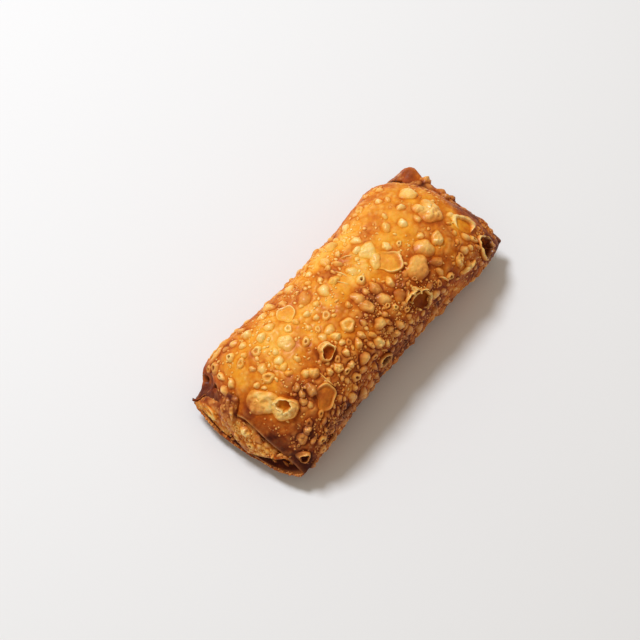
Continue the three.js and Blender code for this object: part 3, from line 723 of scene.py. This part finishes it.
class Relief:
    """The wrapper's fine shape: its height and lumps, and where painted shade darkens its creases and
    holes.
    """

    def __init__(self, x, turn, points):
        self.points = points
        self.order = np.argsort(points[:, 0])
        self.sorted_x = points[self.order, 0]
        self.crowded = skin_crowding(x, turn, points)
        large, small = soft_lumps(points, self.crowded)
        self.lumps = np.maximum(large, 0.7 * small)
        self.height = 0.55 * large + 0.24 * small + 0.12 * noise(points, 1.5, 21)
        self.crease, self.hole = np.zeros(len(points)), np.zeros(len(points))

    def near(self, x, turn, radius):
        """The points within two radii of a place on the skin, and how many radii away each is."""
        centre = bare_skin(np.array(x), np.array(turn))
        first, last = np.searchsorted(self.sorted_x, (centre[0] - 2 * radius, centre[0] + 2 * radius))
        chosen = self.order[first:last]
        return chosen, np.linalg.norm(self.points[chosen] - centre, axis=1) / radius

    def make_room(self, blister):
        """Flattens and creases the skin round a blister, marks that crease for painted shade, and sinks it
        below.
        """
        chosen, reach = self.near(blister.p, blister.q, blister.radius)
        ring, free = hump(reach, 1.05, 0.2), ease(0.95, 1.4, reach)
        self.crease[chosen] = np.maximum(self.crease[chosen], ring)
        self.lumps[chosen] *= free
        sunk = 0.2 if blister.hole is NO_HOLE else blister.hole.depth + 0.3
        self.height[chosen] = blend(self.height[chosen] * free - 0.1 * ring, -sunk, ease(0.9, 0.7, reach))

    def sink(self, x, degrees, radius, depth):
        # Sinks a deep hole in the skin and marks it, so that painted shade darkens it.
        chosen, reach = self.near(x, math.radians(degrees), radius)
        self.height[chosen] -= depth * ease(1.2, 0.3, reach)
        self.hole[chosen] = np.maximum(self.hole[chosen], ease(1.1, 0.6, reach))

    def smooth_out(self, x, degrees, radius, depth):
        chosen, reach = self.near(x, math.radians(degrees), radius)
        self.height[chosen] = blend(self.height[chosen], -depth, ease(1.0, 0.1, reach))


def wrapper(blisters):
    bm = plain_tube()
    plain = np.array([v.co for v in bm.verts])
    mesh = bpy.data.meshes.new("wrapper")
    bm.to_mesh(mesh)
    bm.free()
    radius = np.hypot(plain[:, 0], plain[:, 1])
    turn = columns_to_turn((np.arctan2(plain[:, 1], plain[:, 0]) / (2 * math.pi)) % 1.0)
    x = plain[:, 2] * 2 * HALF_LENGTH
    points = np.empty_like(plain)
    outer = radius > 0.99
    base = skin(x[outer], turn[outer])
    relief = Relief(x[outer], turn[outer], base)
    for blister in blisters:
        relief.make_room(blister)
    for pit in PITS:
        relief.sink(*pit)
    relief.smooth_out(**HOLLOW)
    shaped = base + outwards(skin, x[outer], turn[outer])[2] * relief.height[:, None]
    shaped[:, 2] = np.maximum(shaped[:, 2], FOOT_RISE)
    points[outer] = shaped
    for lips in (NEAR_LIPS, FAR_LIPS):
        end = ~outer & (x * lips["inwards"] < 0)
        points[end] = pocket(lips)(radius[end], turn[end])
    brown, ruddy = skin_toast(x, turn, points)
    # Painted shade in the creases round blisters; browner between lumps, partly real browning and partly
    # painted shade.
    brown[outer] += 0.10 * relief.crease + 0.24 * relief.crowded * (0.4 - relief.lumps)
    # Painted shade inside the open ends' pockets, darker deeper in, and in the pits.
    dark = np.where(outer, 0.0, 0.25 * ease(0.97, 0.8, radius))
    dark[outer] = relief.hole
    pale = 0.6 * hump(np.abs(x), HALF_LENGTH, 0.35) * (radius > 0.9) * ease(25, 50, np.degrees(turn))
    pale[outer] += 0.45 * relief.lumps
    marks = dict(toast=brown, ruddy=ruddy * (1 - pale), pale=pale, dark=dark)
    return finished("wrapper", mesh, points, marks)


# ------------------------------------------------------------------ the folds of the ends

NO_RIM = 2.0  # off the sheet


def plain_sheet(name, columns, rows):
    """A flat closed sheet from -1 to 1 each way, with its back below 0: a fold before it is shaped."""
    bm = bmesh.new()
    bmesh.ops.create_grid(bm, x_segments=columns, y_segments=rows, size=1)
    backs = bmesh.ops.duplicate(bm, geom=bm.verts[:] + bm.edges[:] + bm.faces[:])["geom"]
    for vert in (g for g in backs if isinstance(g, bmesh.types.BMVert)):
        vert.co.z = -0.1
    bmesh.ops.bridge_loops(bm, edges=[e for e in bm.edges if e.is_boundary])
    bmesh.ops.recalc_face_normals(bm, faces=bm.faces)
    mesh = bpy.data.meshes.new(name)
    bm.to_mesh(mesh)
    plain = np.array([v.co for v in bm.verts])
    bm.free()
    return mesh, plain


def fold(name, surface, toast, spans, columns, rows, thickness, rough, rim=NO_RIM):
    """A fold as a closed sheet with a rough relief, paler along its rim, at a share of its rows."""
    mesh, grid = plain_sheet(name, columns, rows)
    p = blend(*spans[0], (grid[:, 0] + 1) / 2)
    q = blend(*spans[1], (grid[:, 1] + 1) / 2)
    points, out = surface(p, q), outwards(surface, p, q)[2]
    bumps = pebbles(wandering(points, 0.7, 2.4, 71), 2.6, 33)
    points = points + out * rough * (0.4 * noise(points, 1.5, 21) + bumps)[:, None]
    points = points - out * np.where(grid[:, 2] < 0, thickness, 0)[:, None]
    brown, ruddy = toast(p, q, points)
    # Paler on the bumps and browner between them: partly real browning and partly painted shade between.
    pale = 0.6 * hump((grid[:, 1] + 1) / 2, rim, 0.03) + 0.45 * bumps
    return finished(name, mesh, points, dict(toast=brown + 0.2 * (0.4 - bumps), ruddy=ruddy, pale=pale))


# ------------------------------------------------------------------ the finish

class Number:
    """A shader socket that can be used in sums: each sign adds the Math node that works it out."""

    def __init__(self, finish, socket):
        self.finish, self.socket = finish, socket

    def _maths(self, operation, first, second):
        return self.finish.node("ShaderNodeMath", {"operation": operation}, {0: first, 1: second})

    def __add__(self, other):
        return self._maths("ADD", self, other)

    __radd__ = __add__

    def __sub__(self, other):
        return self._maths("SUBTRACT", self, other)

    def __rsub__(self, other):
        return self._maths("SUBTRACT", other, self)

    def __mul__(self, other):
        return self._maths("MULTIPLY", self, other)


class Finish:
    """A material's nodes, made one at a time from a type, its settings and its sockets' values or links."""

    def __init__(self, name):
        self.material = bpy.data.materials.new(name)
        self.material.use_nodes = True
        self.tree = self.material.node_tree
        self.tree.nodes.clear()

    def node(self, kind, settings=None, sockets=None, output=0):
        made = self.tree.nodes.new(kind)
        for name, value in (settings or {}).items():
            if name == "stops":
                ramp = made.color_ramp
                while len(ramp.elements) < len(value):
                    ramp.elements.new(1.0)
                for element, (place, colour) in zip(ramp.elements, value):
                    element.position, element.color = place, (*colour, 1.0)
            else:
                setattr(made, name, value)
        for name, value in (sockets or {}).items():
            if isinstance(value, Number):
                self.tree.links.new(value.socket, made.inputs[name])
            else:
                made.inputs[name].default_value = value
        return Number(self, made.outputs[output]) if made.outputs else None

    def mix(self, share, first, second):
        return self.node("ShaderNodeMix", {"data_type": "RGBA", "clamp_factor": True},
                         {0: share, 6: first, 7: second}, output=2)

    def mark(self, name):
        return self.node("ShaderNodeAttribute", {"attribute_name": name}, output=2)

    def speckle(self, place, scale, detail=2.0):
        return self.node("ShaderNodeTexNoise", {}, {"Vector": place, "Scale": scale, "Detail": detail})


def linear(red, green, blue):
    """A colour given as it looks on a screen, from 0 to 255, as the renderer counts it."""
    def one(value):
        share = value / 255
        return share / 12.92 if share <= 0.04045 else ((share + 0.055) / 1.055) ** 2.4
    return one(red), one(green), one(blue)


FRIED_STOPS = [
    (0.0, linear(248, 184, 68)), (0.2, linear(240, 156, 38)), (0.4, linear(217, 119, 20)),
    (0.6, linear(178, 82, 10)), (0.8, linear(124, 46, 6)), (1.0, linear(70, 21, 4)),
]
BLISTER_STOPS = [
    (0.0, linear(255, 218, 140)), (0.25, linear(250, 199, 110)), (0.5, linear(240, 174, 86)),
    (0.75, linear(218, 144, 66)), (1.0, linear(186, 108, 46)),
]
RUDDY_STOPS = [(0.0, linear(227, 132, 66)), (0.5, linear(191, 89, 36)), (1.0, linear(108, 42, 22))]
# The colour of the painted shade inside holes, pits and pockets.
HOLE_SHADE_COLOUR = (*linear(92, 28, 2), 1.0)


def fried_skin():
    finish = Finish("fried_skin")
    place = finish.node("ShaderNodeTexCoord", output=3)
    slow = finish.speckle(place, 190.0, 4.0)
    fine = finish.speckle(place, 800.0, 3.0)
    pale = finish.mark("pale")
    level = finish.mark("toast") + (slow - 0.5) * 0.6 + (fine - 0.5) * 0.3
    skin_colour = finish.node("ShaderNodeValToRGB", {"stops": FRIED_STOPS}, {0: level})
    dome_colour = finish.node("ShaderNodeValToRGB", {"stops": BLISTER_STOPS}, {0: level})
    ruddy_colour = finish.node("ShaderNodeValToRGB", {"stops": RUDDY_STOPS}, {0: level})
    colour = finish.mix(finish.mark("ruddy") * 0.6, skin_colour, ruddy_colour)
    colour = finish.mix(pale, colour, dome_colour)
    # Painted shade darkens holes, pits and pockets.
    colour = finish.mix(finish.mark("dark") * 0.9, colour, HOLE_SHADE_COLOUR)
    height = slow * 0.5 + fine * 0.4 + finish.speckle(place, 2200.0, 1.0) * 0.15
    bump = finish.node("ShaderNodeBump", {}, {"Strength": 0.5, "Distance": 0.0006, "Height": height})
    shader = finish.node("ShaderNodeBsdfPrincipled", {}, {
        "Base Color": colour, "Roughness": 0.60 - pale * 0.25 + (fine - 0.5) * 0.3, "Normal": bump,
        "Subsurface Weight": 0.15, "Subsurface Radius": (1.0, 0.3, 0.08), "Subsurface Scale": 0.0012,
        "Specular IOR Level": 0.12, "Coat Weight": 0.04 + pale * 0.6, "Coat Roughness": 0.26, "IOR": 1.42,
    })
    finish.node("ShaderNodeOutputMaterial", {}, {"Surface": shader})
    return finish.material


# ------------------------------------------------------------------ camera, floor and light

# Directions are in degrees from +X towards +Y and above the floor, distances and sizes in metres.
TARGET = (np.array([-10.232, 4.292, 18.24]) - BOX_MIDDLE) * MM
CAMERA = dict(lens=91.28, sensor=36.0, azimuth=-142.15, elevation=62, distance=0.5952)
WINDOW = dict(size=0.34, watts=11.4, colour=(0.87, 0.915, 1.0), azimuth=85, elevation=60, distance=1.2)
WALLS = dict(colour=(1.0, 0.89, 0.75, 1.0), strength=0.42)


def aimed(name, data, target, setup):
    """A camera or a lamp that looks at the target from the direction and distance of its setup."""
    made = bpy.data.objects.new(name, data)
    towards = direction(setup["azimuth"], setup["elevation"])
    made.location = Vector(target) + towards * setup["distance"]
    made.rotation_mode = "QUATERNION"
    made.rotation_quaternion = (-towards).to_track_quat("-Z", "Y")
    bpy.context.scene.collection.objects.link(made)
    return made


def direction(azimuth, elevation):
    azimuth, elevation = math.radians(azimuth), math.radians(elevation)
    flat = math.cos(elevation)
    return Vector((math.cos(azimuth) * flat, math.sin(azimuth) * flat, math.sin(elevation)))


def camera():
    data = bpy.data.cameras.new("camera")
    data.lens, data.sensor_width = CAMERA["lens"], CAMERA["sensor"]
    data.clip_start, data.clip_end = 0.01, 20.0
    bpy.context.scene.camera = aimed("camera", data, TARGET, CAMERA)


def floor():
    bm = bmesh.new()
    bmesh.ops.create_grid(bm, x_segments=1, y_segments=1, size=3.0)
    mesh = bpy.data.meshes.new("floor")
    bm.to_mesh(mesh)
    bm.free()
    made = bpy.data.objects.new("floor", mesh)
    bpy.context.scene.collection.objects.link(made)
    finish = Finish("pale_floor")
    shader = finish.node("ShaderNodeBsdfPrincipled", {}, {
        "Base Color": (*linear(236, 236, 235), 1.0), "Roughness": 0.7})
    finish.node("ShaderNodeOutputMaterial", {}, {"Surface": shader})
    mesh.materials.append(finish.material)


def lights():
    world = bpy.data.worlds.new("studio")
    bpy.context.scene.world = world
    world.use_nodes = True
    walls = world.node_tree.nodes["Background"].inputs
    walls["Color"].default_value, walls["Strength"].default_value = WALLS["colour"], WALLS["strength"]
    data = bpy.data.lights.new("window", "AREA")
    data.shape, data.size = "DISK", WINDOW["size"]
    data.energy, data.color = WINDOW["watts"], WINDOW["colour"]
    aimed("window", data, (0, 0, 0), WINDOW)
    bpy.context.scene.view_settings.view_transform = "Standard"


# ------------------------------------------------------------------ the spring roll

# Where the scattered blisters may lie on each surface, and its groups of them: their name and number, their
# smallest and largest radius, the sides and rings of their balls, and how they crowd together.
SKIN_SPANS = ((-58, 57), (math.radians(-15), math.radians(198)))
SKIN_GROUPS = [
    ("lumps", 215, (1.3, 2.8), (20, 14), lump_crowding),
    ("blisters", 400, (0.5, 1.1), (10, 8), skin_crowding),
]
TONGUE_SPANS = ((1, 28), (0.12, 0.98))
TONGUE_GROUPS = [
    ("lumps", 18, (0.9, 1.8), (16, 12), everywhere), ("blisters", 30, (0.4, 0.8), (10, 8), everywhere),
]
EAR_SPANS = ((2.5, 22), (0.35, 0.98))
EAR_GROUPS = [("blisters", 22, (0.4, 1.0), (12, 10), everywhere)]
HEM_SPANS = ((HEM["start"], HEM["end"]), (math.radians(-20), math.radians(120)))
HEM_GROUPS = [("blisters", 34, (0.5, 1.0), (12, 10), everywhere)]
POCKET_SPANS = ((0.25, 0.8), (math.radians(190), math.radians(345)))
POCKET_GROUPS = [("lumps", 34, (0.8, 1.9), (16, 12), everywhere)]
LEDGE_SPANS = ((-25.5, 11), (0.2, math.pi - 0.5))
LEDGE_GROUPS = [
    ("lumps", 24, (1.3, 2.3), (20, 14), everywhere), ("blisters", 36, (0.5, 1.0), (10, 8), everywhere),
]
# The large ones of the first fold, of the ear and of the ledge.
TONGUE_BLISTERS = [
    Blister(9.5, 0.74, 1.6, 1.0, "pit", 1.3, 0), Blister(15.5, 0.62, 1.8, 1.1, "pit", 1.2, 30),
    Blister(5.0, 0.36, 2.1, 1.2, "lumpy", 1.3, 40), Blister(12.0, 0.34, 2.3, 1.2, "lumpy", 1.3, 0),
]
EAR_BLISTERS = [Blister(9, 0.72, 2.6, 1.2, "window", 2.2, 0, 0.5)]
LEDGE_BLISTERS = [
    Blister(15.5, 0.75, 4.6, 1.5, "mound", 1.3, 20), Blister(9.0, 0.9, 2.2, 1.5, "lumpy", 1.2, 60),
]


def clustered(crowding):
    """The same crowding, but for small beads that keep to patches: some that are given, and random ones."""
    def made(p, q, points):
        patches = ease(0.05, 0.4, noise(points, 7.0, 41))
        for *middle, radius in BEAD_PATCHES:
            away = np.linalg.norm(points - middle, axis=-1)
            patches = np.maximum(patches, 1.4 * hump(away, 0, radius))
        return np.maximum(crowding(p, q, points), 0.8 * (patches > 1)) * (0.08 + 0.92 * patches)
    return made


def main_blisters():
    plain = [Blister(x, math.radians(degrees), *rest) for x, degrees, *rest in MAIN_BLISTERS]
    burst = [Blister(x, math.radians(degrees), radius, height, "burst", stretch, spin, 0.0, hole)
             for x, degrees, radius, height, stretch, spin, hole in BURST_BLISTERS]
    flaps = []
    for x, degrees, long, wide, tall, spin, bend in FLAPS:
        radius = math.sqrt(long * wide)
        flaps.append(Blister(x, math.radians(degrees), radius, tall, "flap", long / wide, spin, bend))
    joined = Joined("main_blisters")
    for group, shape, tint in ((plain, (48, 24), 0.75), (burst, (88, 48), 0.9), (flaps, (40, 20), 0.9)):
        raise_blisters(joined, cut_ball(*shape), skin, skin_toast, group, tint)
    return joined.finish(), plain + burst


def bubbled(name, surface, toast, tint, spans, taken, groups, tiny, seed):
    """One surface's scattered blisters and beads, one piece for each group, and all its blisters."""
    pieces, made = [], list(taken)
    for step, (kind, count, radii, shape, crowding) in enumerate(groups):
        places = scattered(surface, spans, crowding, count, radii, seed + 10 * step, 0.84, made)
        group = [small_blister(*place) for place in places]
        joined = Joined(f"{name}_{kind}")
        raise_blisters(joined, cut_ball(*shape), surface, toast, group, tint)
        pieces.append(joined.finish())
        made += group
    spots = [b._replace(radius=0.7 * b.radius) for b in made]
    bead_places = scattered(surface, spans, clustered(crowding), tiny, (0.2, 0.5), seed + 1, 0.8, spots)
    joined = Joined(f"{name}_beads")
    beads(joined, surface, toast, bead_places)
    return [*pieces, joined.finish()], made


def fold_blisters():
    joined = Joined("fold_blisters")
    raise_blisters(joined, cut_ball(48, 24), tongue, tongue_toast, TONGUE_BLISTERS, 0.9)
    raise_blisters(joined, cut_ball(48, 24), ear, ear_toast, EAR_BLISTERS, 1.0)
    raise_blisters(joined, cut_ball(48, 24), ledge, ledge_toast, LEDGE_BLISTERS, 0.8)
    return joined.finish()


camera()
floor()
lights()
big_piece, big = main_blisters()
skin_bubbles, all_blisters = bubbled("skin", skin, skin_toast, 0.36, SKIN_SPANS, big, SKIN_GROUPS, 1250, 3)
body = wrapper(all_blisters)
folds = [
    fold("tongue", tongue, tongue_toast, ((0, 29.4), (0, 1)), 120, 40, 0.9, 0.14, 1.0),
    fold("ear", ear, ear_toast, ((0, 30), (0, 1)), 100, 44, 0.7, 0.10, 1.0),
    fold("hem", hem, hem_toast, ((HEM["start"], HEM["end"]), (-1.6, 3.4)), 180, 16, 0.3, 0.15),
    fold("ledge", ledge, ledge_toast, ((-26.5, 22.5), (0, math.pi)), 150, 50, 0.9, 0.25),
]
bubbles = [
    *skin_bubbles,
    *bubbled("tongue", tongue, tongue_toast, 0.6, TONGUE_SPANS, TONGUE_BLISTERS, TONGUE_GROUPS, 90, 13)[0],
    *bubbled("ear", ear, ear_toast, 0.5, EAR_SPANS, EAR_BLISTERS, EAR_GROUPS, 40, 23)[0],
    *bubbled("hem", hem, hem_toast, 0.4, HEM_SPANS, [], HEM_GROUPS, 70, 29)[0],
    *bubbled("pocket", pocket(NEAR_LIPS), hem_toast, 0.5, POCKET_SPANS, [], POCKET_GROUPS, 60, 37)[0],
    *bubbled("ledge", ledge, ledge_toast, 0.45, LEDGE_SPANS, LEDGE_BLISTERS, LEDGE_GROUPS, 110, 17)[0],
]

skin_material = fried_skin()
for piece in (body, big_piece, fold_blisters(), *folds, *bubbles):
    piece.data.materials.append(skin_material)
    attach(piece, "root")
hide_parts(NODE)
